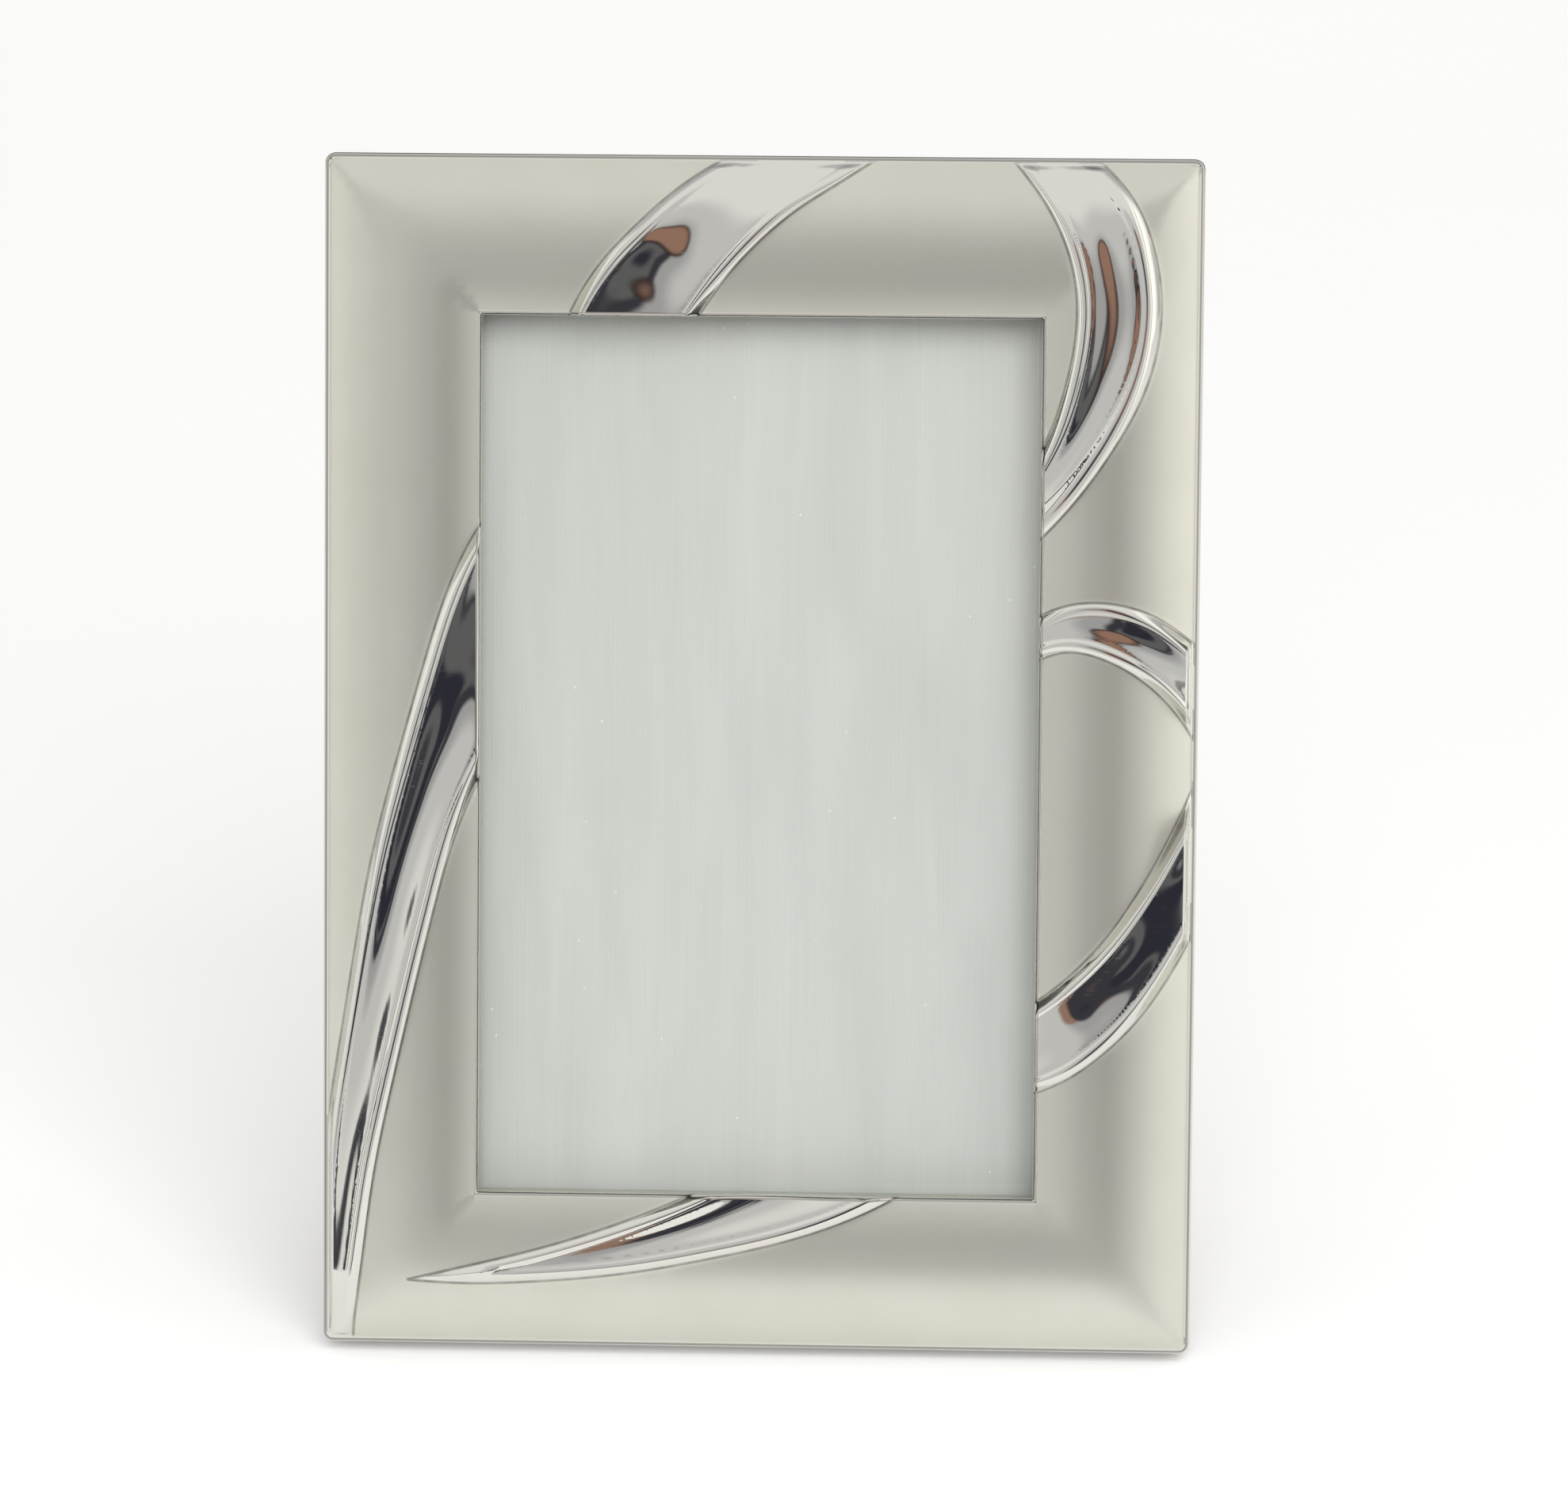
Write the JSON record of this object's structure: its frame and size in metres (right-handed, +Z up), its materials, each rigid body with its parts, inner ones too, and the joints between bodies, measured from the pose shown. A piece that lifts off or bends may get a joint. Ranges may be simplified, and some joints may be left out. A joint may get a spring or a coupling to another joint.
{
  "type": "photo frame",
  "caption": "Silver-plated standing photo frame: domed satin border with raised polished ribbons, glass, wooden rails and back board, hinged strut and turn buttons.",
  "frame": {"origin": "on the floor, at the centre of the footprint between the front of the frame and the foot of the open strut", "axes": "+Z up, the picture faces -Y, +X to the right of someone who looks at the picture; the frame leans back by 14 degrees"},
  "size_m": [0.144, 0.0776, 0.1932],
  "materials": {
    "silver_plate": "satin silver plate with mirror-polished ribbons and rim",
    "lacquered_wood": "dark lacquered wood",
    "board_wood": "stained fibreboard",
    "zinc_plated_steel": "bright zinc plate",
    "brass": "plain brass",
    "clear_glass": "clear float glass",
    "pale_paper": "pale grey woven insert",
    "grey_card": "plain grey card"
  },
  "bodies": {
    "frame": {"front_shell": "silver_plate", "core_rail_top": "lacquered_wood", "core_rail_bottom": "lacquered_wood", "core_rail_left": "lacquered_wood", "core_rail_right": "lacquered_wood", "corner_nail_top_right": "zinc_plated_steel", "corner_nail_top_left": "zinc_plated_steel", "corner_nail_bottom_left": "zinc_plated_steel", "corner_nail_bottom_right": "zinc_plated_steel", "glass_pane": "clear_glass", "photo_insert": "pale_paper", "backing_card": "grey_card", "back_board": "board_wood", "hinge_fixed_leaf": "zinc_plated_steel", "hinge_pin": "zinc_plated_steel", "fixed_leaf_screw_1": "zinc_plated_steel", "fixed_leaf_screw_2": "zinc_plated_steel", "turn_button_screw_left_upper": "brass", "turn_button_screw_left_lower": "brass", "turn_button_screw_right_upper": "brass", "turn_button_screw_right_lower": "brass"},
    "strut": {"easel_strut": "board_wood", "hinge_moving_leaf": "zinc_plated_steel", "moving_leaf_screw_1": "zinc_plated_steel", "moving_leaf_screw_2": "zinc_plated_steel"},
    "button_left_upper": {"turn_button_left_upper": "brass"},
    "button_left_lower": {"turn_button_left_lower": "brass"},
    "button_right_upper": {"turn_button_right_upper": "brass"},
    "button_right_lower": {"turn_button_right_lower": "brass"}
  },
  "joints": [
    {"name": "strut_hinge", "type": "hinge", "parent": "frame", "child": "strut", "pos_m": [0, 0.00677, 0.12563], "axis": [-1, 0, 0], "range_deg": [0, 26]},
    {"name": "turn_left_upper", "type": "hinge", "parent": "frame", "child": "button_left_upper", "pos_m": [-0.05675, 0.00727, 0.13633], "axis": [0, 0.9703, -0.2419], "continuous": true},
    {"name": "turn_left_lower", "type": "hinge", "parent": "frame", "child": "button_left_lower", "pos_m": [-0.05675, -0.01305, 0.05482], "axis": [0, 0.9703, -0.2419], "continuous": true},
    {"name": "turn_right_upper", "type": "hinge", "parent": "frame", "child": "button_right_upper", "pos_m": [0.05675, 0.00727, 0.13633], "axis": [0, 0.9703, -0.2419], "continuous": true},
    {"name": "turn_right_lower", "type": "hinge", "parent": "frame", "child": "button_right_lower", "pos_m": [0.05675, -0.01305, 0.05482], "axis": [0, 0.9703, -0.2419], "continuous": true}
  ]
}
